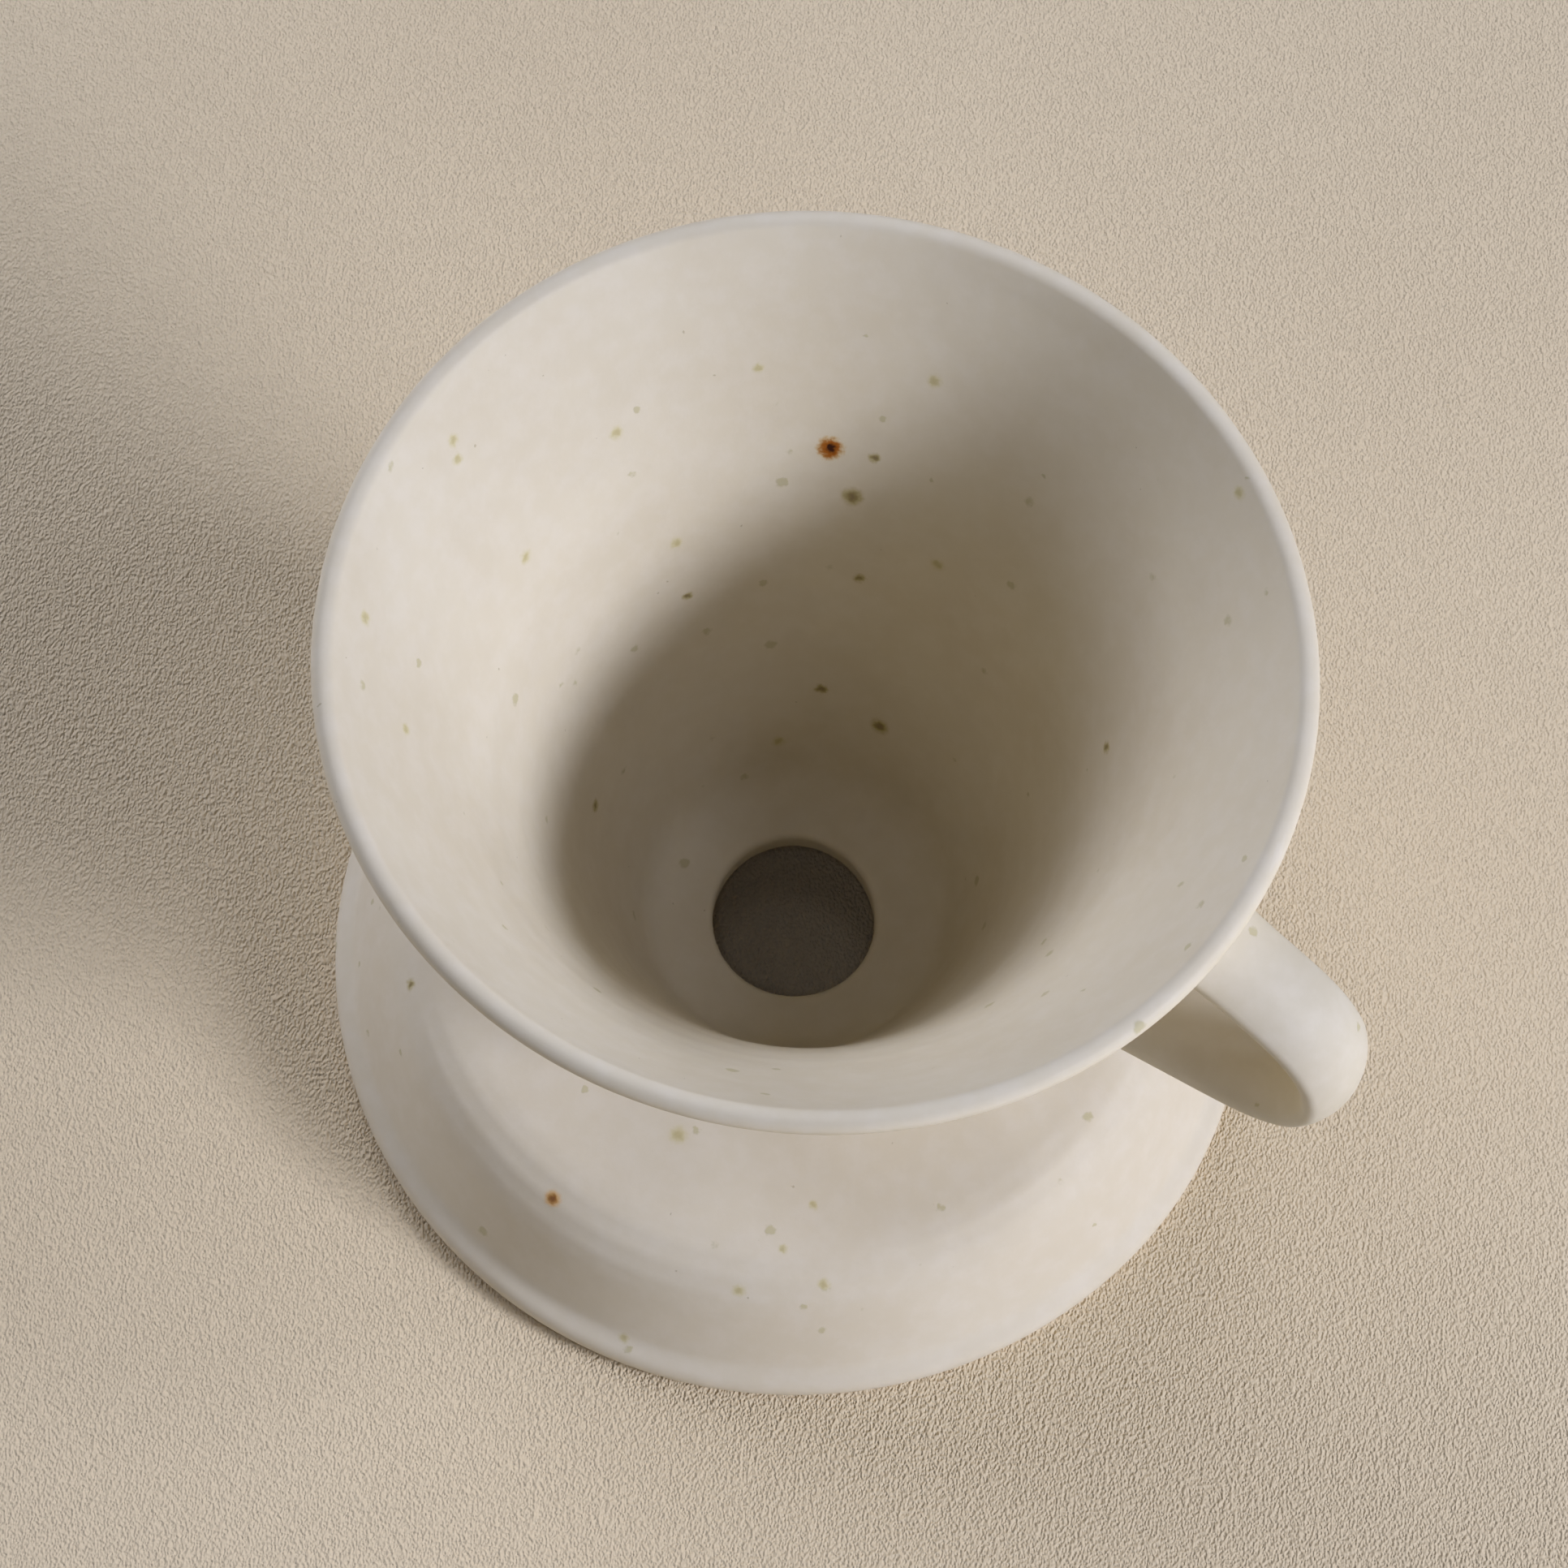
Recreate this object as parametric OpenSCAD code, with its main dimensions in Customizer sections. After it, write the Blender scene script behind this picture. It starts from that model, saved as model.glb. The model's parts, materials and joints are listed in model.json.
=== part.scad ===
// Pour over coffee dripper in glazed stoneware.
// A thrown funnel drops into the tapered seat of a domed skirt, a pulled strap
// handle keys into the funnel wall, and rolled coils of clay seal each corner.
// Millimetres, +Z up, origin on the funnel's axis in the plane of the foot.

/* [Funnel] */
// Height of the lip above the table
height = 100.4; // [96:0.2:105]
// Outer radius of the rounded lip
rim_r = 57.9; // [55:0.1:61]
// Thickness of the lip
lip_t = 2.8; // [2.4:0.1:3.8]
// Wall thickness of the cone
wall_t = 4.3; // [3.9:0.1:4.9]
// Slope of the upper wall from the horizontal
flare_deg = 58.7; // [57.7:0.1:59.7]
// Slope of the lower wall from the horizontal
cone_deg = 70.5; // [69.5:0.25:71.5]
// Inner radius where the straight upper wall starts to steepen
flare_r = 45; // [44:0.25:46]
// Radius of the sweep between the two slopes
sweep_r = 146; // [139:1:152]

/* [Outlet] */
// Radius of the drip hole
outlet_r = 10.4; // [8:0.2:11]
// Height of the drip hole's upper edge
floor_z = 15.7; // [15:0.1:16.4]
// Dish of the funnel floor from the horizontal
floor_deg = 12; // [8:1:15]
// Radius in the corner of the floor
floor_fillet = 7; // [5:0.5:8]
// Thickness of the funnel's floor at the drip hole
floor_t = 3.6; // [3:0.1:4.2]

/* [Base skirt] */
// Outer radius of the foot bead
foot_r = 59.4; // [57:0.2:62]
// Radius of the foot bead's section
bead_r = 2.4; // [2.2:0.1:2.6]
// Height of the bead's centre above the table
bead_z = 2; // [1.8:0.05:2.1]
// Height of the skirt's top where it meets the funnel
neck_z = 24; // [23:0.25:25]
// Fall of the top of the skirt from the horizontal
top_deg = 10; // [8:0.5:11]
// Slope of the outer side of the skirt from the horizontal
side_deg = 67; // [64:0.5:69]
// Radius of the shoulder
shoulder_r = 11; // [9:0.5:12]
// Radius where the straight side meets the foot bead
side_foot_r = 57; // [56.6:0.1:57.3]
// Height where the straight side meets the foot bead
side_foot_z = 4.9; // [4.6:0.1:5.2]
// Inner radius of the skirt's mouth
mouth_r = 54.6; // [54:0.1:55]
// Height of the straight wall inside the mouth
mouth_h = 5; // [4:0.25:5.5]
// Height of the flat land under the skirt that sits on a mug
land_z = 16.5; // [16:0.1:17.2]
// Inner radius of the flat land, outside the coil that seals the seat
land_in = 27; // [26.5:0.25:32]
// Outer radius of the flat land
land_r = 46; // [44:0.5:46.5]

/* [Handle] */
// Turn of the handle about the vertical axis
handle_az = -29; // [-180:1:180]
// Width of the strap
strap_w = 11.8; // [10:0.2:14]
// Thickness of the strap at its crown
strap_t = 6.2; // [5:0.2:7]
// Radius of the strap's long edges
strap_edge = 1.5; // [1.2:0.1:1.8]
// Distance of the bend's centre from the axis
bend_x = 61.6; // [60:0.1:64]
// Height of the bend's centre
bend_z = 73.4; // [72:0.1:75]
// Centreline radius of the bend
bend_r = 12.4; // [11:0.1:13]
// Rise of the upper limb towards the funnel
limb_top_deg = 24; // [20:0.5:27]
// Fall of the lower limb towards the funnel
limb_low_deg = 12.5; // [8:0.5:16]
// Depth of the strap's seats in the funnel wall
seat_depth = 1; // [0.6:0.1:1.4]

/* [Clay coils] */
// Radius of the hollow fillet round the neck
neck_fillet = 5; // [4:0.25:6]
// Radius of the hollow fillet under the skirt
under_fillet = 3; // [2:0.25:3.5]
// Radius of the coils at the handle's roots
root_coil = 1.8; // [1.5:0.1:2.4]

/* [Hidden] */
$fn = 96;
arc_steps = 10;
limb_lap = 0.5;
limb_fuller = 1.02;
// Centre of the lip's round section
lip_c = [rim_r - lip_t / 2, height - lip_t / 2];
n_flare = [sin(flare_deg), -cos(flare_deg)];
n_cone = [sin(cone_deg), -cos(cone_deg)];
// Inner ends of the straight upper wall
in_lip = lip_c - lip_t / 2 * n_flare;
in_flare = [flare_r, in_lip[1] - (in_lip[0] - flare_r) * tan(flare_deg)];
// The two walls are joined by an arc centred outside the funnel
sweep_c = in_flare + sweep_r * n_flare;
in_cone = sweep_c - sweep_r * n_cone;
out_lip = lip_c + lip_t / 2 * n_flare;
out_cone = in_cone + wall_t * n_cone;
// Floor corner, where the lower wall would meet the dished floor
floor_in = [outlet_r + 0.5, floor_z];
corner_r = (in_cone[0] - in_cone[1] / tan(cone_deg)
            + (floor_in[1] - floor_in[0] * tan(floor_deg)) / tan(cone_deg))
           / (1 - tan(floor_deg) / tan(cone_deg));
corner = [corner_r, floor_in[1] + (corner_r - floor_in[0]) * tan(floor_deg)];
fillet_cut = floor_fillet * tan((cone_deg - floor_deg) / 2);
fillet_c = corner + fillet_cut * [cos(cone_deg), sin(cone_deg)]
           - floor_fillet * n_cone;
// Radius of the funnel's outside at height z on the lower cone
function cone_out(z) = out_cone[0] - (out_cone[1] - z) / tan(cone_deg);
// Skirt top and shoulder
neck_r = cone_out(neck_z);
n_top = [sin(top_deg), cos(top_deg)];
n_side = [sin(side_deg), cos(side_deg)];
bead_c = [foot_r - bead_r, bead_z];
side_foot = [side_foot_r, side_foot_z];
// The bead is ground flat where it meets the table
bead_flat_deg = asin(bead_z / bead_r);
land_fillet = 5;
// The seat opens into a shallow recess inside the land, which takes the coil
seat_z = land_z + 0.6;
// Underside of the funnel's heel
heel_z = floor_z - floor_t;
// The shoulder's centre lies shoulder_r under both the top and the side lines
top_k = n_top * [neck_r, neck_z] - shoulder_r;
side_k = n_side * side_foot - shoulder_r;
det = n_top[0] * n_side[1] - n_top[1] * n_side[0];
shoulder_c = [(top_k * n_side[1] - side_k * n_top[1]) / det,
              (n_top[0] * side_k - n_side[0] * top_k) / det];
// Strap section: two crowned faces tangent to round edges
edge_x = strap_w / 2 - strap_edge;
crown_r = (edge_x * edge_x + strap_t * strap_t / 4 - strap_edge * strap_edge)
          / (strap_t - 2 * strap_edge);
crown_deg = asin(edge_x / (crown_r - strap_edge));
// Where each limb's centreline crosses the funnel's outer wall
top_start = [bend_x, bend_z] + bend_r * [sin(limb_top_deg), cos(limb_top_deg)];
top_dir = [-cos(limb_top_deg), sin(limb_top_deg)];
top_root = top_start + top_dir * (n_flare * (out_lip - top_start)) / (n_flare * top_dir);
low_start = [bend_x, bend_z] + bend_r * [sin(limb_low_deg), -cos(limb_low_deg)];
low_dir = [-cos(limb_low_deg), -sin(limb_low_deg)];
low_root = low_start + low_dir * (n_cone * (out_cone - low_start)) / (n_cone * low_dir);

// Points along an arc in the plane of the profile
function arc(c, r, from, to, steps = arc_steps) =
  [for (i = [0:steps]) c + r * [cos(from + (to - from) * i / steps), sin(from + (to - from) * i / steps)]];

// The same without its two end points, for use between other arcs
function short_arc(c, r, from, to, steps = 6) =
  [for (i = [1:steps - 1]) arc(c, r, from, to, steps)[i]];

// Outside line of the funnel wall, from the lip down to the heel
function funnel_outer(shift = 0) = concat(
  [out_lip - shift * n_flare],
  arc(sweep_c, sweep_r - wall_t + shift, 90 + flare_deg, 90 + cone_deg),
  [[cone_out(heel_z + 1.5) - shift * n_cone[0], heel_z + 1.5 - shift * n_cone[1]]]);

module funnel_profile() {
  polygon(concat(
    arc(lip_c, lip_t / 2, flare_deg - 90, flare_deg + 90, 14),
    arc(sweep_c, sweep_r, 90 + flare_deg, 90 + cone_deg),
    arc(fillet_c, floor_fillet, cone_deg - 90, floor_deg - 90, 6),
    [floor_in, [outlet_r, floor_z - 0.5]],
    [[outlet_r, heel_z + 0.5], [outlet_r + 0.5, heel_z]],
    [[cone_out(heel_z) - 1, heel_z]],
    [for (i = [len(funnel_outer()) - 1:-1:1]) funnel_outer()[i]]));
}

// Solid core inside the funnel wall, used to trim the handle's ends
module wall_core(depth) {
  rotate_extrude() polygon(concat(
    [[0, height], [rim_r - lip_t, height]],
    funnel_outer(depth),
    [[0, heel_z + 1.5]]));
}

module skirt_profile() {
  polygon(concat(
    [[cone_out(seat_z), seat_z], [neck_r, neck_z]],
    arc(shoulder_c, shoulder_r, 90 - top_deg, 90 - side_deg),
    [side_foot],
    arc(bead_c, bead_r, 62, -bead_flat_deg),
    [[mouth_r, 0], [mouth_r, mouth_h]],
    arc([land_r, land_z - land_fillet], land_fillet, 90 - side_deg, 90, 6),
    [[land_in, land_z], [land_in - 0.6, seat_z]]));
}

// Concave corner fillet between two lines that leave the corner at these angles
module corner_fillet(at, from, to, r) {
  half = (to - from) / 2;
  leg = r / tan(half);
  translate(at) rotate(from)
    polygon(concat([[0, 0]], arc([leg, r], r, 270, 90 + 2 * half)));
}

module strap_section() {
  polygon(concat(
    arc([edge_x, 0], strap_edge, crown_deg - 90, 90 - crown_deg, 6),
    short_arc([0, strap_t / 2 - crown_r], crown_r, 90 - crown_deg, 90 + crown_deg),
    arc([-edge_x, 0], strap_edge, 90 + crown_deg, 270 - crown_deg, 6),
    short_arc([0, crown_r - strap_t / 2], crown_r, 270 - crown_deg, 270 + crown_deg)));
}

// A straight length of strap from point a, in the handle's plane; it is a
// shade fuller than the bend it grows out of
module limb(a, angle, length) {
  translate([a[0], 0, a[1]]) rotate([0, -angle, 0]) rotate([90, 0, 90])
    translate([0, 0, -limb_lap]) linear_extrude(length) scale(limb_fuller) strap_section();
}

// The whole strap, still running through the funnel wall
module strap_sweep() {
  rotate([0, 0, handle_az]) {
    translate([bend_x, 0, bend_z]) rotate([90, 0, 0])
      rotate([0, 0, limb_low_deg - 90])
        rotate_extrude(angle = 180 - limb_low_deg - limb_top_deg)
          translate([bend_r, 0]) rotate(90) strap_section();
    limb(top_start, 180 - limb_top_deg, 18);
    limb(low_start, 180 + limb_low_deg, 40);
  }
}

module strap_solid() {
  difference() {
    strap_sweep();
    wall_core(seat_depth);
  }
}

// Ring of clay laid round a strap root; the ring lies in the plane of the wall
module root_ring(at, wall_deg, stretch) {
  mid_r = strap_t / 2 * stretch + 0.3;
  half_l = strap_w / 2 + 0.3 - mid_r;
  rotate([0, 0, handle_az]) translate([at[0], 0, at[1]])
    rotate([0, 90 - (90 - wall_deg), 0]) rotate([0, 0, 90]) {
      for (side = [-1, 1]) {
        translate([side * half_l, 0, 0]) rotate([0, 0, -90 * side])
          rotate_extrude(angle = 180) translate([mid_r, 0]) circle(root_coil);
        translate([-half_l, side * mid_r, 0]) rotate([0, 90, 0]) cylinder(r = root_coil, h = 2 * half_l);
      }
    }
}

// Thrown funnel with its drip hole and the two strap seats
module funnel() {
  color("#d9d1c3") difference() {
    rotate_extrude() funnel_profile();
    strap_solid();
  }
}

// Thrown domed skirt with a tapered seat, a flat mug land and a beaded foot
module base_skirt() {
  color("#cfc6b8") rotate_extrude() skirt_profile();
}

// Coil of clay sealing the funnel to the top of the skirt
module neck_coil() {
  color("#c7bdae") rotate_extrude()
    corner_fillet([neck_r, neck_z], -top_deg, cone_deg, neck_fillet);
}

// Coil of clay sealing the funnel under the skirt
module under_coil() {
  color("#c2b8a8") rotate_extrude()
    corner_fillet([cone_out(seat_z), seat_z], cone_deg - 180, 0, under_fillet);
}

// Pulled strap handle, keyed into the funnel wall at both ends
module handle_strap() {
  color("#e0d9cc") strap_solid();
}

// Coil of clay round the upper root of the strap
module handle_top_coil() {
  color("#d4cbbc") difference() {
    root_ring(top_root, flare_deg, 1);
    strap_sweep();
    wall_core(0);
  }
}

// Coil of clay round the lower root of the strap
module handle_bottom_coil() {
  color("#ccc2b2") difference() {
    root_ring(low_root, cone_deg, 1.2);
    strap_sweep();
    wall_core(0);
  }
}

funnel();
base_skirt();
neck_coil();
under_coil();
handle_strap();
handle_top_coil();
handle_bottom_coil();
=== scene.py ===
import json
import math

import bmesh
import bpy
import numpy as np
from mathutils import Matrix, Vector


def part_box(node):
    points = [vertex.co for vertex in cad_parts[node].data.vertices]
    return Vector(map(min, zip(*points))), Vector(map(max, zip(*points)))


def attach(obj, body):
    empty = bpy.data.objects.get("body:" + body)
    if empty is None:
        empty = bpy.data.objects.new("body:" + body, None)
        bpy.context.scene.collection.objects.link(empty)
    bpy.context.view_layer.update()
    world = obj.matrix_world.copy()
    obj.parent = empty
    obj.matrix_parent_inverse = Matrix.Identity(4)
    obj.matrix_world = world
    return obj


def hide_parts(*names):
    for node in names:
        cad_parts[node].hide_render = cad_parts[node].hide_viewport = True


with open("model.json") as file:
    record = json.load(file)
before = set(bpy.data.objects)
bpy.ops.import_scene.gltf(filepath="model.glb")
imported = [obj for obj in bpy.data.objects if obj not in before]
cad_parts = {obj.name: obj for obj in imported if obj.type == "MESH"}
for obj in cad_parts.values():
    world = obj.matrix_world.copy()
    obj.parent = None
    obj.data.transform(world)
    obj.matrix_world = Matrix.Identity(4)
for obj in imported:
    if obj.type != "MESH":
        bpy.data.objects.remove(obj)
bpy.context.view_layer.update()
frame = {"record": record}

# Glazed stoneware pour over dripper. Every finished piece is built in
# millimetres on the CAD's own axis and stands for one CAD node.

MM = 0.001
mounts = {m["name"]: m for m in frame["record"]["mounts"]}

# ------------------------------------------------- sizes, mm and degrees
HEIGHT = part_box("funnel")[1].z / MM
RIM_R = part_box("funnel")[1].x / MM
HEEL_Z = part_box("funnel")[0].z / MM
FOOT_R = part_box("base_skirt")[1].x / MM
OUTLET_R = mounts["outlet_bore"]["dims"]["r_mm"]
MOUTH_R = mounts["skirt_mouth"]["dims"]["r_mm"]
MOUTH_H = mounts["skirt_mouth"]["dims"]["length_mm"]
LAND_Z = mounts["mug_land"]["pos_m"][2] / MM

LIP_T = 2.8
WALL_T = 4.3
FLARE = 58.7          # slope of the upper wall
CONE = 70.5           # slope of the lower wall
FLARE_R = 45.0        # inner radius where the upper wall starts to steepen
SWEEP_R = 146.0       # radius of the sweep between the two slopes
FLOOR_Z = 15.7
FLOOR_SLOPE = 12.0
FLOOR_FILLET = 7.0
OUTLET_ROUND = 1.1    # rounded upper edge of the drip hole
HEEL_ROUND = 1.6

NECK_Z = 24.0
TOP_SLOPE = 10.0      # fall of the skirt's top
SIDE_SLOPE = 67.0
SHOULDER_R = 11.0
SIDE_FOOT = (57.0, 4.9)
SIDE_ROUND = 3.2      # hollow between the side and the foot bead
BEAD_R = 2.4
BEAD_Z = 2.0
BEAD_FROM = 58.0      # where the bead leaves that hollow
MOUTH_EDGE = 0.8      # rounding where the mouth meets the ground
MOUTH_ROUND = 4.0
LAND_R = 46.0
LAND_IN = 27.0
LAND_FILLET = 5.0
SEAT_Z = LAND_Z + 0.6
NECK_FILLET = 5.0
UNDER_FILLET = 3.0
EDGE_ROUND = 0.3      # softened clay edges
COIL_SINK = 0.04      # how far a coil's skin starts under its neighbours'
COIL_DEPTH = 0.6

HANDLE_AZ = -29.0
STRAP_W = 11.8
STRAP_SWELL = 0.03    # how much wider the strap is at its bend
SWELL_AT = 0.45       # share of the strap's run where it is widest
SWELL_RUN = 12.0
STRAP_T = 6.2
STRAP_EDGE = 1.5
BEND_X = 61.6
BEND_Z = 73.4
BEND_R = 12.4
LIMB_TOP = 24.0
LIMB_LOW = 12.5
ROOT_IN = 1.6         # how far the strap runs into the wall
ROOT_FLARE = 0.12     # how much wider the strap is at its roots
ROOT_THICKEN = 0.10
ROOT_RUN = 4.0        # length over which the roots widen
SKIN_SINK = 0.05      # how far the worked clay starts under the strap's skin
ROOT_FILLET = 2.6
ROOT_SINK = 0.35      # how far the worked clay's edge runs under the glaze

SEGMENTS = 256        # round each thrown piece
STEP = 0.8            # longest edge of a thrown piece's outline
STRAP_STEP = 0.9
CREASE = 40.0         # faces that meet at more than this angle shade apart


# ------------------------------------------------------------ plane geometry
def unit(deg):
    return np.array([math.cos(math.radians(deg)), math.sin(math.radians(deg))])


def normal(deg):
    """Right-hand normal of a line that rises at this slope."""
    return np.array([math.sin(math.radians(deg)), -math.cos(math.radians(deg))])


def meet(p, p_deg, q, q_deg):
    """Where two lines cross, each given by a point and its slope."""
    a = np.array([unit(p_deg), -unit(q_deg)]).T
    s = np.linalg.solve(a, np.array(q) - np.array(p))
    return np.array(p) + s[0] * unit(p_deg)


def arc(c, r, start, end, steps):
    turn = np.linspace(start, end, steps + 1)
    return [np.array(c) + r * unit(t) for t in turn]


def corner(p, r):
    """A corner of an outline, to be rounded to radius r."""
    return (float(p[0]), float(p[1]), r)


def outline(items):
    """Closed outline from plain points and rounded corners."""
    n = len(items)
    out = []
    for i, item in enumerate(items):
        if len(item) == 2:
            out.append(np.array(item, float))
            continue
        p = np.array(item[:2])
        a = np.array(items[i - 1][:2]) - p
        b = np.array(items[(i + 1) % n][:2]) - p
        a, b = a / np.linalg.norm(a), b / np.linalg.norm(b)
        half = math.acos(max(-1.0, min(1.0, float(a @ b)))) / 2
        leg = item[2] / math.tan(half)
        mid = (a + b) / np.linalg.norm(a + b)
        centre = p + mid * item[2] / math.sin(half)
        steps = max(4, int((math.pi - 2 * half) / 0.2))
        for k in range(steps + 1):
            t = k / steps
            q = (p + a * leg) * (1 - t) + (p + b * leg) * t - centre
            out.append(centre + q / np.linalg.norm(q) * item[2])
    return out


def even(points, step):
    """The closed outline with long edges divided, and its arcs left alone."""
    out = []
    for i, p in enumerate(points):
        q = points[(i + 1) % len(points)]
        gap = float(np.linalg.norm(q - p))
        if gap < 1e-4:
            continue
        parts = max(1, round(gap / step))
        out += [p + (q - p) * k / parts for k in range(parts)]
    return out


# ----------------------------------------------------------- derived outline
lip_c = np.array([RIM_R - LIP_T / 2, HEIGHT - LIP_T / 2])
in_lip = lip_c - LIP_T / 2 * normal(FLARE)
out_lip = lip_c + LIP_T / 2 * normal(FLARE)
in_flare = in_lip + unit(FLARE) * (FLARE_R - in_lip[0]) / unit(FLARE)[0]
sweep_c = in_flare + SWEEP_R * normal(FLARE)
knee_in = in_flare - unit(FLARE) * SWEEP_R * math.tan(math.radians(CONE - FLARE) / 2)
knee_out = sweep_c + (knee_in - sweep_c) * (SWEEP_R - WALL_T) / SWEEP_R
out_cone = sweep_c - (SWEEP_R - WALL_T) * normal(CONE)


def cone_out(z):
    """Outer radius of the lower cone at height z."""
    return out_cone[0] - (out_cone[1] - z) / math.tan(math.radians(CONE))


def wall_out(z):
    """Outer radius of the funnel at height z, upper wall included."""
    if z <= out_cone[1]:
        return cone_out(z)
    top = sweep_c - (SWEEP_R - WALL_T) * normal(FLARE)
    if z < top[1]:
        dz = z - sweep_c[1]
        return sweep_c[0] - math.sqrt((SWEEP_R - WALL_T) ** 2 - dz * dz)
    t = (z - top[1]) / (out_lip[1] - top[1])
    return top[0] + t * (out_lip[0] - top[0])


def wall_in(z):
    """Inner radius of the funnel at height z."""
    if z >= in_flare[1]:
        return in_flare[0] + (z - in_flare[1]) / math.tan(math.radians(FLARE))
    low = sweep_c - SWEEP_R * normal(CONE)
    if z > low[1]:
        dz = z - sweep_c[1]
        return sweep_c[0] - math.sqrt(SWEEP_R ** 2 - dz * dz)
    return low[0] - (low[1] - z) / math.tan(math.radians(CONE))


neck = np.array([cone_out(NECK_Z), NECK_Z])
shoulder_c = meet(neck - SHOULDER_R * unit(90 - TOP_SLOPE), -TOP_SLOPE,
                  SIDE_FOOT - SHOULDER_R * unit(90 - SIDE_SLOPE), -SIDE_SLOPE)


def skirt_top(r):
    """Height of the skirt's outer face at radius r: top, shoulder, then side."""
    reach = (r - shoulder_c[0]) / SHOULDER_R
    if reach < math.sin(math.radians(TOP_SLOPE)):
        return NECK_Z - (r - neck[0]) * math.tan(math.radians(TOP_SLOPE))
    if reach < math.sin(math.radians(SIDE_SLOPE)):
        return shoulder_c[1] + SHOULDER_R * math.sqrt(1 - reach ** 2)
    return SIDE_FOOT[1] + (SIDE_FOOT[0] - r) * math.tan(math.radians(SIDE_SLOPE))


# -------------------------------------------------- the maker's hand, a warp
RIM_OVAL = 0.20                       # out-of-round of the rim
RIM_WAVE = 0.10
RIM_TILT = 0.16
FOOT_SWELL, FOOT_SWELL_AT, FOOT_SWELL_WIDTH = 0.55, -24, 26
FOOT_FADE = (3, 14)                   # height where the swell starts to fade, and the run
HOLE_WORN, HOLE_WORN_AT, HOLE_WORN_WIDTH = 0.9, 92, 50
HOLE_FADE = (1, 4)                    # the same outward from the drip hole's edge
HOLE_DEPTH = (1, 3)                   # and upward from the mug land
RING_DEPTH = 0.022                    # faint throwing rings
RING_PITCH = (6.3, 4.1)
RING_FADE = (26, 10)


def ramp(value, start, run):
    """0 up to the start, then rising to 1 over the run."""
    return np.clip((value - start) / run, 0, 1)


def bump(angle, at, width):
    """A smooth swelling, 1 at one azimuth and fading to both sides of it."""
    d = (angle - math.radians(at) + math.pi) % (2 * math.pi) - math.pi
    return np.exp(-(d / math.radians(width)) ** 2)


def hand(points):
    """Moves points by the slight unevenness of a hand-thrown pot, in mm."""
    p = np.array(points, float)
    x, y, z = p[:, 0], p[:, 1], p[:, 2]
    r = np.hypot(x, y)
    a = np.arctan2(y, x)
    up = ramp(z, 0, HEIGHT)
    out = ramp(r, 0, RIM_R)
    low = 1 - ramp(z, *FOOT_FADE)
    dr = (RIM_OVAL * np.cos(2 * a + 0.7) + RIM_WAVE * np.cos(3 * a + 2.1)) * up * out
    dr += FOOT_SWELL * low * out * bump(a, FOOT_SWELL_AT, FOOT_SWELL_WIDTH)
    at_hole = (1 - ramp(r - OUTLET_R, *HOLE_FADE)) * (1 - ramp(z - LAND_Z, *HOLE_DEPTH))
    dr += HOLE_WORN * at_hole * bump(a, HOLE_WORN_AT, HOLE_WORN_WIDTH)
    coarse, fine = (2 * math.pi * z / pitch for pitch in RING_PITCH)
    rings = np.sin(coarse + a) + 0.6 * np.sin(fine - a)
    dr += RING_DEPTH * rings * ramp(z, *RING_FADE)
    dz = RIM_TILT * np.cos(2 * a + 2.6) * up * up
    k = 1 + dr / np.maximum(r, 1e-6)
    return np.stack([x * k, y * k, z + dz], 1)


# ------------------------------------------------------------- mesh building
def add_mesh(name, points, faces, material):
    """A smooth piece from points in millimetres, with the hand's warp."""
    mesh = bpy.data.meshes.new(name)
    mesh.from_pydata((hand(points) * MM).tolist(), [], faces)
    mesh.validate()
    mesh.shade_smooth()
    mesh.materials.append(material)
    piece = bpy.data.objects.new(name, mesh)
    bpy.context.scene.collection.objects.link(piece)
    return piece


def loop_faces(rings, n):
    """Quads between closed rings of n points; the last ring joins the first."""
    faces = []
    for i in range(rings):
        a, b = i * n, ((i + 1) % rings) * n
        faces += [(a + j, b + j, b + (j + 1) % n, a + (j + 1) % n) for j in range(n)]
    return faces


def lathe(name, points, material):
    """Turns a closed (r, z) outline into a thrown piece."""
    profile = np.array(even(outline(points), STEP))
    n = len(profile)
    turn = np.linspace(0, 2 * math.pi, SEGMENTS, endpoint=False)
    pts = np.zeros((SEGMENTS, n, 3))
    pts[:, :, 0] = np.cos(turn)[:, None] * profile[:, 0]
    pts[:, :, 1] = np.sin(turn)[:, None] * profile[:, 0]
    pts[:, :, 2] = profile[:, 1]
    piece = add_mesh(name, pts.reshape(-1, 3), loop_faces(SEGMENTS, n), material)
    outward(piece)
    return piece


def outward(piece):
    """Turns every face of a closed mesh out of the clay and keeps its folds crisp."""
    bm = bmesh.new()
    bm.from_mesh(piece.data)
    bmesh.ops.recalc_face_normals(bm, faces=bm.faces)
    bm.to_mesh(piece.data)
    bm.free()
    piece.data.set_sharp_from_angle(angle=math.radians(CREASE))


def finish_piece(piece, node):
    """Fixes a finished piece to the body and lets it stand for its CAD node."""
    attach(piece, "root")
    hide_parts(node)


# --------------------------------------------------------------- clay pieces
def build_funnel(material):
    """Cone, lip, dished floor and drip hole, as one closed outline."""
    lip_up = unit(FLARE) * LIP_T / 2
    lip_round = LIP_T / 2 * 0.985     # the lip's two roundings all but meet
    floor_corner = meet(knee_in, CONE, (OUTLET_R + 0.5, FLOOR_Z), FLOOR_SLOPE)
    points = [
        corner(out_lip + lip_up, lip_round),
        corner(in_lip + lip_up, lip_round),
        corner(knee_in, SWEEP_R),
        corner(floor_corner, FLOOR_FILLET),
        corner((OUTLET_R, FLOOR_Z), OUTLET_ROUND),
        corner((OUTLET_R, HEEL_Z), EDGE_ROUND * 2),
        corner((cone_out(HEEL_Z), HEEL_Z), HEEL_ROUND),
        corner(knee_out, SWEEP_R - WALL_T),
    ]
    return lathe("funnel_body", points, material)


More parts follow.
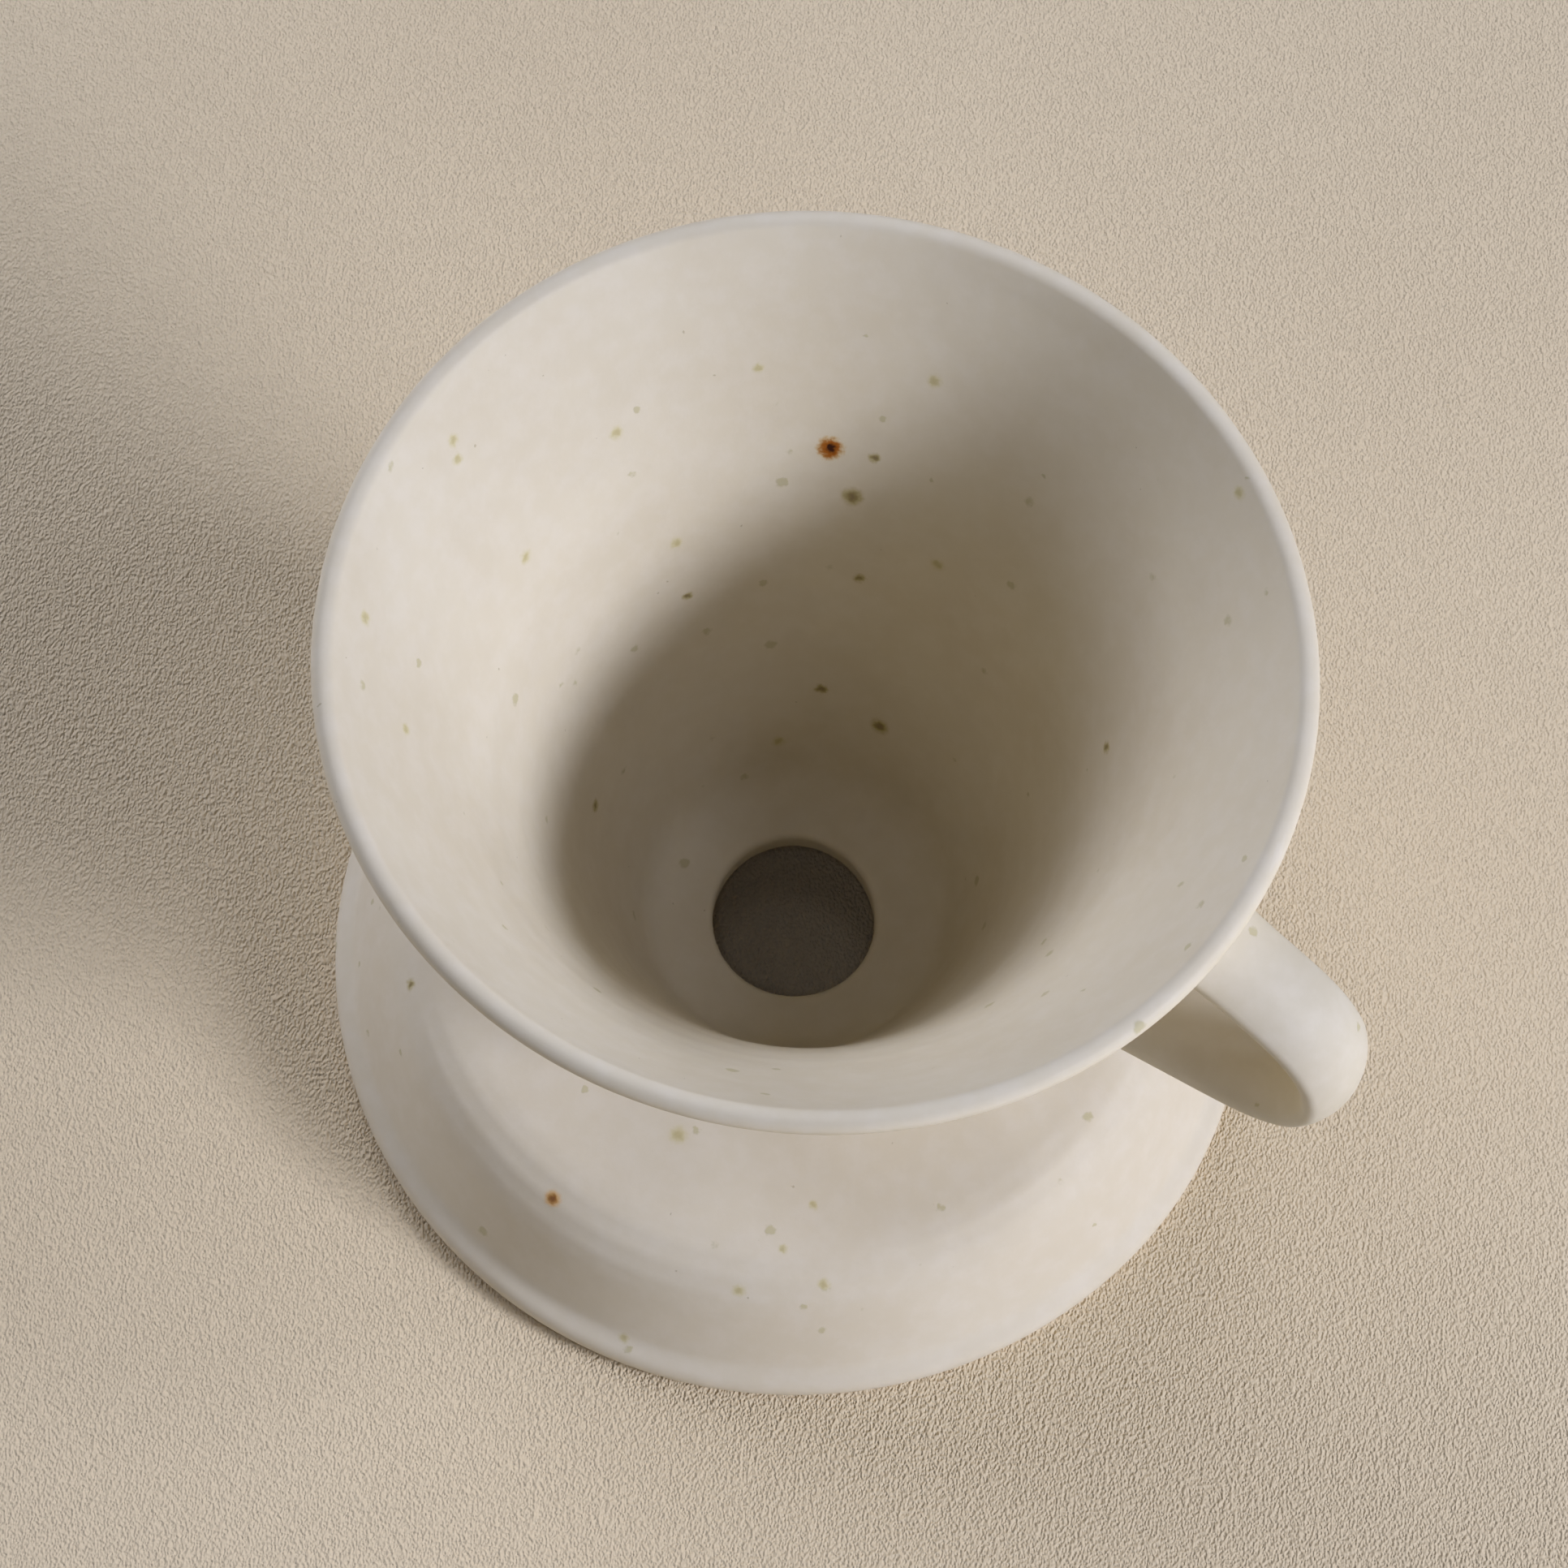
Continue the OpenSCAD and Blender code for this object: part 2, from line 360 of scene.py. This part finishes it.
def build_skirt(material):
    """Domed skirt with a beaded foot, hollow underneath."""
    bead_c = (FOOT_R - BEAD_R, BEAD_Z)
    flat = math.degrees(math.asin(BEAD_Z / BEAD_R))
    shoulder = meet(neck, -TOP_SLOPE, SIDE_FOOT, -SIDE_SLOPE)
    land_c = (LAND_R, LAND_Z - LAND_FILLET)
    points = [
        corner((cone_out(SEAT_Z), SEAT_Z), EDGE_ROUND),
        tuple(neck),
        corner(shoulder, SHOULDER_R),
        corner(SIDE_FOOT, SIDE_ROUND),
        *[tuple(p) for p in arc(bead_c, BEAD_R, BEAD_FROM, -flat, 16)],
        corner((MOUTH_R, 0), MOUTH_EDGE),
        corner((MOUTH_R, MOUTH_H), MOUTH_ROUND),
        *[tuple(p) for p in arc(land_c, LAND_FILLET, 90 - SIDE_SLOPE, 90, 8)],
        corner((LAND_IN, LAND_Z), EDGE_ROUND),
        corner((LAND_IN - (SEAT_Z - LAND_Z), SEAT_Z), EDGE_ROUND),
    ]
    return lathe("skirt_body", points, material)


def build_coil(name, at, start, end, r, material):
    """Coil smoothed into the corner between two faces at these slopes."""
    half = math.radians(end - start) / 2
    leg = r / math.tan(half)
    turn = Matrix.Rotation(math.radians(start), 2)
    spin = np.array([list(turn[0]), list(turn[1])])
    sink = unit((start + end) / 2) * COIL_SINK
    curve = arc((leg, r), r, 270, 90 + math.degrees(2 * half), 16)
    points = [np.array(at) + spin @ p - sink for p in curve]
    inside = np.array(at) - unit((start + end) / 2) * COIL_DEPTH
    return lathe(name, [tuple(inside)] + [tuple(p) for p in points], material)


# -------------------------------------------------------------------- handle
def handle_frame():
    """The handle's plane: outward direction and the direction across it."""
    a = math.radians(HANDLE_AZ)
    return np.array([math.cos(a), math.sin(a)]), np.array([-math.sin(a), math.cos(a)])


def to_space(r, across, z):
    """A point of the handle's own frame, in the frame of the pot."""
    ahead, side = handle_frame()
    return np.array([*(ahead * r + side * across), z])


SMOOTH_PASSES = 24    # of the centreline, to soften where bend meets limb


def strap_path():
    """Centreline of the strap as (r, z) points, from upper to lower root."""
    bend = np.array([BEND_X, BEND_Z])
    start = bend + BEND_R * unit(90 - LIMB_TOP)
    end = bend + BEND_R * unit(LIMB_LOW - 90)
    up, down = unit(180 - LIMB_TOP), unit(180 + LIMB_LOW)
    n_up, n_low = normal(FLARE), normal(CONE)
    top = start + up * (n_up @ (out_lip - start)) / (n_up @ up)
    low = end + down * (n_low @ (out_cone - end)) / (n_low @ down)
    points = [top + up * ROOT_IN, start]
    points += arc(bend, BEND_R, 90 - LIMB_TOP, LIMB_LOW - 90, 28)[1:]
    points += [low + down * ROOT_IN]
    path = [points[0]]
    for p, q in zip(points, points[1:]):
        parts = max(1, round(float(np.linalg.norm(q - p)) / STRAP_STEP))
        path += [p + (q - p) * k / parts for k in range(1, parts + 1)]
    path = np.array(path)
    for _ in range(SMOOTH_PASSES):
        path[1:-1] += 0.5 * ((path[:-2] + path[2:]) / 2 - path[1:-1])
    return path


def strap_section(width, thick, points=48):
    """Lens section with round edges, as (across, out) points."""
    edge = width / 2 - STRAP_EDGE
    half = thick / 2
    crown = (edge ** 2 + half ** 2 - STRAP_EDGE ** 2) / (thick - 2 * STRAP_EDGE)
    lean = math.degrees(math.asin(edge / (crown - STRAP_EDGE)))
    curve = arc((edge, 0), STRAP_EDGE, lean - 90, 90 - lean, points // 6)
    curve += arc((0, half - crown), crown, 90 - lean, 90 + lean, points // 3)[1:-1]
    curve += [-p for p in curve]
    return np.array(curve)


def strap_rings():
    """The strap's section at each step of its path, wider towards the roots."""
    path = strap_path()
    gaps = np.linalg.norm(np.diff(path, axis=0), axis=1)
    run = np.concatenate([[0], np.cumsum(gaps)])
    tangent = np.gradient(path, axis=0)
    tangent /= np.linalg.norm(tangent, axis=1)[:, None]
    rings = []
    for p, t, s in zip(path, tangent, run):
        near = min(s, run[-1] - s)
        root = math.exp(-(near / ROOT_RUN) ** 2)
        swell = math.exp(-((s - run[-1] * SWELL_AT) / SWELL_RUN) ** 2)
        grow = 1 + ROOT_FLARE * root + STRAP_SWELL * swell
        out = np.array([-t[1], t[0]])
        section = strap_section(STRAP_W * grow, STRAP_T * (1 + ROOT_THICKEN * root))
        line = []
        for across, lift in section:
            r, z = p + out * lift
            line.append(to_space(r, across, z))
        rings.append(line)
    return np.array(rings)


def build_strap(material):
    """Pulled strap, closed by a cap inside the wall at each root."""
    rings = strap_rings()
    count, n, _ = rings.shape
    points = rings.reshape(-1, 3)
    faces = loop_faces(count, n)[: (count - 1) * n]
    for first in (0, count - 1):
        centre = len(points)
        points = np.vstack([points, rings[first].mean(0)])
        faces += [(first * n + j, first * n + (j + 1) % n, centre) for j in range(n)]
    piece = add_mesh("handle_pulled_strap", points, faces, material)
    outward(piece)
    return piece


def on_wall(p, depth=0.0):
    """The point of the funnel's outside nearest in height to p."""
    r = wall_out(p[2]) - depth
    return np.array([p[0], p[1], 0]) * r / math.hypot(p[0], p[1]) + [0, 0, p[2]]


def build_root(name, first, material):
    """Clay worked round one root, from the strap's skin to the wall."""
    rings = strap_rings()
    if not first:
        rings = rings[::-1]
    count, n, _ = rings.shape
    middle = rings[:8].mean((0, 1))   # inside the strap, by its root
    loops = []
    for j in range(n):
        line = rings[:, j]
        gap = np.hypot(line[:, 0], line[:, 1]) - np.array([wall_out(z) for z in line[:, 2]])
        k = int(np.argmax(gap > 0))
        k = max(k, 1)
        t = gap[k - 1] / (gap[k - 1] - gap[k]) if gap[k] != gap[k - 1] else 0
        t = min(max(t, 0), 1)
        foot = line[k - 1] + (line[k] - line[k - 1]) * t
        along = line[k + 2] - line[k - 1]
        along /= np.linalg.norm(along)
        away = foot - middle
        away -= along * (away @ along)
        away /= np.linalg.norm(away)
        skin = foot + along * ROOT_FILLET - away * SKIN_SINK
        wall = on_wall(foot + away * ROOT_FILLET, ROOT_SINK)
        inner = on_wall(foot, ROOT_SINK * 2)
        curve = []
        for s in np.linspace(0, 1, 9):
            curve.append((1 - s) ** 2 * skin + 2 * s * (1 - s) * foot + s * s * wall)
        loops.append(curve + [inner])
    loops = np.array(loops)
    piece = add_mesh(name, loops.reshape(-1, 3), loop_faces(n, loops.shape[1]), material)
    outward(piece)
    return piece


# ----------------------------------------------------------------- materials
def srgb(code):
    """Linear colour from a hex code."""
    v = [int(code[i:i + 2], 16) / 255 for i in (0, 2, 4)]
    lin = [c / 12.92 if c <= 0.04045 else ((c + 0.055) / 1.055) ** 2.4 for c in v]
    return (*lin, 1.0)


SHEEN = "fff6e0"      # warm tint that keeps the glaze's highlights from going blue
SHINE = 0.20          # strength of the glaze's reflection
ROUGHNESS = 0.44
FINE_SHARE = 0.14     # strength of the fine mottling
EDGE_GLAZE_AND_HIGHLIGHT_SHARE = 0.12     # of the lighter tone on edges: thinner glaze and partly a painted highlight
HOLLOW_POOLING_AND_SHADE_SHARE = 0.30   # of the darker tone in hollows: pooled glaze and partly painted shade
WAVE_MM = 0.05        # relief of the glaze's slow waves
PORE_MM = 0.006
SPECK_MM = 0.03
SPECK_TEAR = 0.9      # how far noise pulls at a speck's edge, mm
RUST_TEAR = 1.5


class Nodes:
    """Short names for building the node tree of a material or a world."""

    def __init__(self, owner):
        owner.use_nodes = True
        self.tree = owner.node_tree
        self.tree.nodes.clear()

    def put(self, kind, inputs=None, **values):
        """A new node. Inputs are sockets to link or plain values."""
        node = self.tree.nodes.new(kind)
        for key, value in values.items():
            setattr(node, key, value)
        for key, value in (inputs or {}).items():
            if isinstance(value, bpy.types.NodeSocket):
                self.tree.links.new(value, node.inputs[key])
            else:
                node.inputs[key].default_value = value
        return node

    def math(self, operation, a, b=0.0, c=0.0):
        return self.put("ShaderNodeMath", {0: a, 1: b, 2: c}, operation=operation).outputs[0]

    def fade(self, value, start, end, low=0.0, high=1.0):
        """Smooth change from low to high as the value goes from start to end."""
        inputs = {"Value": value, "From Min": start, "From Max": end,
                  "To Min": low, "To Max": high}
        node = self.put("ShaderNodeMapRange", inputs, interpolation_type="SMOOTHSTEP")
        return node.outputs["Result"]

    def mix(self, factor, a, b):
        inputs = {0: factor, 6: a, 7: b}      # the node's colour sockets
        return self.put("ShaderNodeMix", inputs, data_type="RGBA").outputs[2]

    def noise(self, vector, scale, detail=2.0, rough=0.5):
        inputs = {"Vector": vector, "Scale": scale, "Detail": detail, "Roughness": rough}
        return self.put("ShaderNodeTexNoise", inputs)


def place_mm(n):
    """Position in the dripper's own frame, in millimetres."""
    coord = n.put("ShaderNodeTexCoord").outputs["Object"]
    scaled = n.put("ShaderNodeVectorMath", {0: coord, "Scale": 1 / MM}, operation="SCALE")
    return scaled.outputs[0]


def ragged(n, place, amount):
    """The place shifted by fine noise, so that specks have ragged edges."""
    grain = n.noise(place, 1.3, 2.0).outputs["Color"]
    centred = n.put("ShaderNodeVectorMath", {0: grain, 1: (0.5, 0.5, 0.5)}, operation="SUBTRACT")
    inputs = {0: centred.outputs[0], 1: (amount,) * 3, 2: place}
    return n.put("ShaderNodeVectorMath", inputs, operation="MULTIPLY_ADD").outputs[0]


# random specks: cell size and radius in mm, then the pattern's shift in cells
FLECKS = (7.5, 0.72, (3.7, 1.9, 8.3))
DUST = (4.6, 0.16, (11.2, 5.4, 2.6))


def scatter(n, place, cell, radius, shift):
    """Sparse random specks: about one per cube of this cell size, in mm."""
    inputs = {0: place, 1: (1 / cell,) * 3, 2: shift}
    moved = n.put("ShaderNodeVectorMath", inputs, operation="MULTIPLY_ADD").outputs[0]
    cells = n.put("ShaderNodeTexVoronoi", {"Vector": moved, "Scale": 1.0, "Randomness": 1.0})
    pick = n.put("ShaderNodeSeparateColor", {"Color": cells.outputs["Color"]})
    size = n.math("MULTIPLY_ADD", pick.outputs[0], radius, radius * 0.45)
    size = n.math("DIVIDE", size, cell)
    share = n.math("DIVIDE", cells.outputs["Distance"], size)
    return n.fade(share, 0.55, 1.0, 1.0, 0.0)


def mark_share(n, place, marks):
    """Distance to the nearest named mark, as a share of that mark's radius."""
    share = 9.0                               # far from every mark
    for centre, radius in marks:
        gap = n.put("ShaderNodeVectorMath", {0: place, 1: tuple(centre)}, operation="DISTANCE")
        part = n.math("DIVIDE", gap.outputs["Value"], radius)
        share = n.math("MINIMUM", part, share)
    return share


def stain(n, place, colour, spot, marks, core, rim, strength):
    """Soft iron stains at the marks, laid over the colour and the spot mask."""
    if not marks:
        return colour, spot
    share = mark_share(n, place, marks)
    tone = n.mix(n.fade(share, 0.1, 0.7), srgb(core), srgb(rim))
    mask = n.fade(share, 0.30, 1.05, strength, 0.0)
    return n.mix(mask, colour, tone), n.math("MAXIMUM", spot, mask)


def rust_stain(n, place, colour, spot, marks):
    """A dark iron core in a rust ring with a burnt, ragged edge."""
    if not marks:
        return colour, spot
    share = mark_share(n, ragged(n, place, RUST_TEAR), marks)
    tone = n.mix(n.fade(share, 0.15, 0.50), srgb("3a1a0a"), srgb("a05a18"))
    tone = n.mix(n.fade(share, 0.50, 0.95), tone, srgb("cfa964"))
    mask = n.fade(share, 0.60, 1.10, 1.0, 0.0)
    return n.mix(mask, colour, tone), n.math("MAXIMUM", spot, mask)


def mottled_and_painted_light(n, place, cloud, body, shade):
    """The glaze's mottled colour, lighter on edges (thin glaze and partly a painted highlight)
    and darker in hollows (pooled glaze and partly painted shade).
    """
    fine = n.noise(place, 0.32, 4.0, 0.6).outputs["Fac"]
    colour = n.mix(n.fade(cloud, 0.35, 0.65), srgb(body), srgb(shade))
    colour = n.mix(n.fade(fine, 0.35, 0.75, 0.0, FINE_SHARE), colour, srgb("efe6d4"))
    bend = n.put("ShaderNodeNewGeometry").outputs["Pointiness"]
    # lighter tone on sharp edges such as the lip: thin glaze and partly a painted highlight
    colour = n.mix(n.fade(bend, 0.51, 0.56, 0.0, EDGE_GLAZE_AND_HIGHLIGHT_SHARE), colour, srgb("eee5d2"))
    # darker tone in hollows such as the neck and the handle roots: pooled glaze and partly
    # painted shade
    return n.mix(n.fade(bend, 0.44, 0.49, HOLLOW_POOLING_AND_SHADE_SHARE, 0.0), colour, srgb("b8a888"))


def specked(n, place, torn, colour, olive, pale, rust, amber):
    """Random flecks and dust, then the named spots. Gives colour and mask."""
    fleck = scatter(n, torn, *FLECKS)
    colour = n.mix(n.math("MULTIPLY", fleck, 0.5), colour, srgb("b0a468"))
    dust = scatter(n, torn, *DUST)
    colour = n.mix(n.math("MULTIPLY", dust, 0.45), colour, srgb("9a8658"))
    spot = n.math("MAXIMUM", fleck, dust)
    colour, spot = stain(n, torn, colour, spot, pale, "b09d55", "cabc7c", 0.62)
    colour, spot = stain(n, torn, colour, spot, olive, "7a6430", "b3a058", 0.85)
    colour, spot = stain(n, torn, colour, spot, amber, "85501c", "d6a14e", 0.95)
    return rust_stain(n, place, colour, spot, rust)


def unglazed(n, place, colour, rough, height):
    """Bare gritty clay on the ground flat of the foot."""
    facing = n.put("ShaderNodeNewGeometry").outputs["Normal"]
    flat = n.put("ShaderNodeSeparateXYZ", {"Vector": facing}).outputs["Z"]
    up = n.put("ShaderNodeSeparateXYZ", {"Vector": place}).outputs["Z"]
    down = n.fade(flat, -0.55, -0.8, 0.0, 1.0)
    ground = n.math("MULTIPLY", down, n.fade(up, 0.25, 0.8, 1.0, 0.0))
    grit = n.noise(place, 2.4, 5.0, 0.7).outputs["Fac"]
    colour = n.mix(ground, colour, n.mix(grit, srgb("8f7a5e"), srgb("c4b295")))
    rough = n.math("MULTIPLY_ADD", ground, 0.5, rough)
    height = n.math("MULTIPLY_ADD", n.math("MULTIPLY", ground, grit), 0.25, height)
    return colour, rough, height


def glaze(name, body, shade, olive=(), pale=(), rust=(), amber=(), bare_foot=False):
    """Satin stoneware glaze with iron specks, lighter over edges and darker in hollows, partly
    as painted highlight and painted shade.
    """
    material = bpy.data.materials.new(name)
    n = Nodes(material)
    place = place_mm(n)
    cloud = n.noise(place, 0.035, 3.0, 0.55).outputs["Fac"]
    colour = mottled_and_painted_light(n, place, cloud, body, shade)
    torn = ragged(n, place, SPECK_TEAR)
    colour, spot = specked(n, place, torn, colour, olive, pale, rust, amber)
    rough = n.math("MULTIPLY_ADD", cloud, 0.14, ROUGHNESS)
    rough = n.math("MULTIPLY_ADD", spot, 0.15, rough)
    height = n.math("MULTIPLY", n.noise(place, 0.55, 3.0).outputs["Fac"], WAVE_MM)
    height = n.math("MULTIPLY_ADD", n.noise(place, 3.2, 2.0).outputs["Fac"], PORE_MM, height)
    height = n.math("MULTIPLY_ADD", spot, SPECK_MM, height)
    if bare_foot:
        colour, rough, height = unglazed(n, place, colour, rough, height)
    relief = n.put("ShaderNodeBump", {"Height": height, "Distance": MM, "Strength": 0.6})
    surface = n.put("ShaderNodeBsdfPrincipled", {
        "Base Color": colour, "Roughness": rough, "Normal": relief.outputs[0],
        "IOR": 1.46, "Specular IOR Level": SHINE, "Specular Tint": srgb(SHEEN)})
    n.put("ShaderNodeOutputMaterial", {"Surface": surface.outputs[0]})
    return material


def inside_mark(azimuth, z, radius):
    """A spot on the funnel's inside at this height."""
    r = wall_in(z)
    return (tuple([*(unit(azimuth) * r), z]), radius)


def skirt_mark(azimuth, r, radius):
    """A spot on the skirt's outer face at this distance from the axis."""
    return (tuple([*(unit(azimuth) * r), skirt_top(r)]), radius)


TABLE_FADE = (220.0, 900.0)   # distance over which the table fades out, mm
TABLE_GRAIN = (3.4, 2.3, 1)   # grains per mm, across and along
TABLE_RELIEF = 0.4            # mm
BACKDROP = "d9cfc0"


def table_material():
    """Embossed paper that fades into the backdrop far from the dripper."""
    material = bpy.data.materials.new("table_paper")
    n = Nodes(material)
    place = place_mm(n)
    cloud = n.noise(place, 0.006, 3.0).outputs["Fac"]
    drawn = n.put("ShaderNodeVectorMath", {0: ragged(n, place, 0.3), 1: TABLE_GRAIN},
                  operation="MULTIPLY")
    pebble = n.put("ShaderNodeTexVoronoi", {"Vector": drawn.outputs[0], "Scale": 1.0},
                   feature="SMOOTH_F1")
    colour = n.mix(n.fade(cloud, 0.3, 0.7), srgb("dac59c"), srgb("e0cca3"))
    relief = n.put("ShaderNodeBump", {"Height": pebble.outputs["Distance"],
                                      "Distance": MM * TABLE_RELIEF, "Strength": 0.90})
    surface = n.put("ShaderNodeBsdfPrincipled", {
        "Base Color": colour, "Roughness": 0.85, "Normal": relief.outputs[0]})
    reach = n.put("ShaderNodeVectorMath", {0: place}, operation="LENGTH").outputs["Value"]
    far = n.fade(reach, *TABLE_FADE)
    seen = n.put("ShaderNodeLightPath").outputs["Is Camera Ray"]
    backdrop = n.put("ShaderNodeEmission", {"Color": srgb(BACKDROP)})
    both = n.put("ShaderNodeMixShader", {
        0: n.math("MULTIPLY", far, seen), 1: surface.outputs[0], 2: backdrop.outputs[0]})
    n.put("ShaderNodeOutputMaterial", {"Surface": both.outputs[0]})
    return material


# ------------------------------------------------------------ stage and light
FLOOR_SIZE = 6.0              # metres


def build_floor():
    """The table, one wide flat sheet."""
    half = FLOOR_SIZE / 2
    mesh = bpy.data.meshes.new("table")
    mesh.from_pydata([(-half, -half, 0), (half, -half, 0), (half, half, 0), (-half, half, 0)],
                     [], [(0, 1, 2, 3)])
    mesh.materials.append(table_material())
    floor = bpy.data.objects.new("table", mesh)
    bpy.context.scene.collection.objects.link(floor)


LIGHT_DISTANCE = 1.6          # metres
LIGHT_HEIGHT = 0.7            # share of the dripper's height that lamps aim at
LIGHT_COLOUR = (0.985, 1.055, 1.41)


def area_light(name, azimuth, elevation, width, height, watts):
    """Soft panel that faces the funnel from this side."""
    light = bpy.data.lights.new(name, "AREA")
    light.shape = "ELLIPSE"
    light.size = width
    light.size_y = height
    light.energy = watts
    light.color = LIGHT_COLOUR
    lamp = bpy.data.objects.new(name, light)
    bpy.context.scene.collection.objects.link(lamp)
    flat = unit(azimuth) * math.cos(math.radians(elevation))
    back = Vector((flat[0], flat[1], math.sin(math.radians(elevation))))
    lamp.location = Vector((0, 0, HEIGHT * MM * LIGHT_HEIGHT)) + back * LIGHT_DISTANCE
    lamp.rotation_mode = "QUATERNION"
    lamp.rotation_quaternion = (-back).to_track_quat("-Z", "Y")
    lamp.visible_camera = False


ROOM_EDGE = (0.30, 0.62)      # sine of the elevation where the room dims
ROOM_LOW = 0.05               # radiance at eye level
ROOM_HIGH = 0.005             # radiance overhead


def build_room():
    """A room dim enough to keep the funnel's own shade, with a pale backdrop."""
    world = bpy.data.worlds.new("soft_room")
    n = Nodes(world)
    view = n.put("ShaderNodeTexCoord").outputs["Generated"]
    up = n.put("ShaderNodeSeparateXYZ", {"Vector": view}).outputs["Z"]
    glow = n.fade(up, *ROOM_EDGE, ROOM_LOW, ROOM_HIGH)
    sky = n.put("ShaderNodeBackground", {"Color": srgb("fbf6ee"), "Strength": glow})
    backdrop = n.put("ShaderNodeBackground", {"Color": srgb(BACKDROP), "Strength": 1.0})
    seen = n.put("ShaderNodeLightPath").outputs["Is Camera Ray"]
    both = n.put("ShaderNodeMixShader", {0: seen, 1: sky.outputs[0], 2: backdrop.outputs[0]})
    n.put("ShaderNodeOutputWorld", {"Surface": both.outputs[0]})
    bpy.context.scene.world = world


# name, azimuth, elevation, width and height in metres, watts
LAMPS = [
    ("window", -19, 28.5, 0.46, 0.30, 17.3),
    ("window_left", -32, 30, 0.20, 0.20, 2.3),
    ("window_low", -19, 20, 0.30, 0.15, 1.7),
    ("window_high", 5, 52, 0.20, 0.20, 1.8),
    ("overhead", 90, 80, 0.50, 0.50, 0.4),
    ("over_camera", 268, 68, 0.20, 0.20, 0.6),
    ("back_left", 146, 23, 0.80, 0.50, 8.1),
    ("back_low", 110, 25, 0.80, 0.50, 5.0),
    ("back_high", 120, 36, 0.80, 0.50, 2.7),
    ("front_fill", 240, 12, 0.60, 0.60, 2.7),
]


def build_light():
    """Soft studio light, with the picture's tones left as they are."""
    build_room()
    for lamp in LAMPS:
        area_light(*lamp)
    bpy.context.scene.view_settings.view_transform = "Standard"


# -------------------------------------------------------------------- camera
CAMERA_AT = (0.0, -0.2633, 0.6974)      # metres
CAMERA_PITCH = 67.54                    # degrees below the horizontal
CAMERA_YAW = 0.22
CAMERA_ROLL = 5.15
SENSOR = 36.0                           # mm
LENS = 130.435                          # focal length for this sensor, mm


def build_camera():
    """Camera above the front of the dripper, looking down into it."""
    data = bpy.data.cameras.new("camera")
    data.sensor_width = SENSOR
    data.lens = LENS
    data.clip_start, data.clip_end = 0.05, 20
    camera = bpy.data.objects.new("camera", data)
    bpy.context.scene.collection.objects.link(camera)
    level = Matrix(((1, 0, 0), (0, 0, 1), (0, -1, 0)))
    pitch = Matrix.Rotation(math.radians(CAMERA_PITCH), 3, "X")
    yaw = Matrix.Rotation(math.radians(CAMERA_YAW), 3, "Y")
    roll = Matrix.Rotation(math.radians(CAMERA_ROLL), 3, "Z")
    # rows of the world-to-lens turn, in a frame of right, down and ahead
    seen = roll @ yaw @ pitch @ Matrix(((1, 0, 0), (0, 0, -1), (0, 1, 0)))
    right, down, ahead = seen
    axes = Matrix((right, -down, -ahead)).transposed()
    camera.matrix_world = Matrix.Translation(CAMERA_AT) @ axes.to_4x4()
    bpy.context.scene.camera = camera


# ---------------------------------------------------------------------- main
# The largest iron spots: azimuth, then height inside the funnel or radius on
# the skirt, then the spot's own radius.
RUST_INSIDE = [(91, 73, 1.9)]
AMBER_SKIRT = [(237, 49.5, 1.4)]
OLIVE_INSIDE = [(86, 66.5, 1.8), (68, 30.5, 1.6), (88, 34, 1.1), (82, 54, 1.0),
                (10, 66, 1.0), (172, 39, 1.1), (122, 54, 0.9), (83, 72.5, 1.0)]
PALE_INSIDE = [(122, 63, 1.1), (151, 76, 1.2), (127, 81, 1.2), (150, 94, 1.1),
               (151, 92, 1.0), (178, 95, 1.2), (76, 84, 1.2), (66, 60.5, 1.2),
               (101, 24.5, 1.1), (190, 87, 1.0), (103, 83.5, 0.9), (29, 98, 1.1)]
OLIVE_SKIRT = [(197, 50, 1.0)]
PALE_SKIRT = [(250, 35, 1.5), (273, 46, 0.8), (279, 50, 1.0), (267, 51, 1.1),
              (278, 40.5, 0.8), (253, 57, 1.0)]

RUST_IN = [inside_mark(*s) for s in RUST_INSIDE]
AMBER_OUT = [skirt_mark(*s) for s in AMBER_SKIRT]
OLIVE_IN = [inside_mark(*s) for s in OLIVE_INSIDE]
OLIVE_OUT = [skirt_mark(*s) for s in OLIVE_SKIRT]
PALE_IN = [inside_mark(*s) for s in PALE_INSIDE]
PALE_OUT = [skirt_mark(*s) for s in PALE_SKIRT]

funnel_glaze = glaze("glaze_funnel", "ddd0b0", "d8caa9", OLIVE_IN, PALE_IN, RUST_IN)
skirt_glaze = glaze("glaze_skirt", "dccfb0", "d8caaa", OLIVE_OUT, PALE_OUT,
                    amber=AMBER_OUT, bare_foot=True)
coil_glaze = glaze("glaze_coil", "dbceaf", "d7c9a9")
handle_glaze = glaze("glaze_handle", "d6cbad", "d2c6a8")

finish_piece(build_funnel(funnel_glaze), "funnel")
finish_piece(build_skirt(skirt_glaze), "base_skirt")
finish_piece(build_coil("neck_smoothed_coil", neck, -TOP_SLOPE, CONE, NECK_FILLET, coil_glaze),
             "neck_coil")
seat = (cone_out(SEAT_Z), SEAT_Z)
finish_piece(build_coil("under_smoothed_coil", seat, CONE - 180, 0, UNDER_FILLET, coil_glaze),
             "under_coil")
finish_piece(build_strap(handle_glaze), "handle_strap")
finish_piece(build_root("handle_top_root", True, handle_glaze), "handle_top_coil")
finish_piece(build_root("handle_bottom_root", False, handle_glaze), "handle_bottom_coil")

build_floor()
build_light()
build_camera()
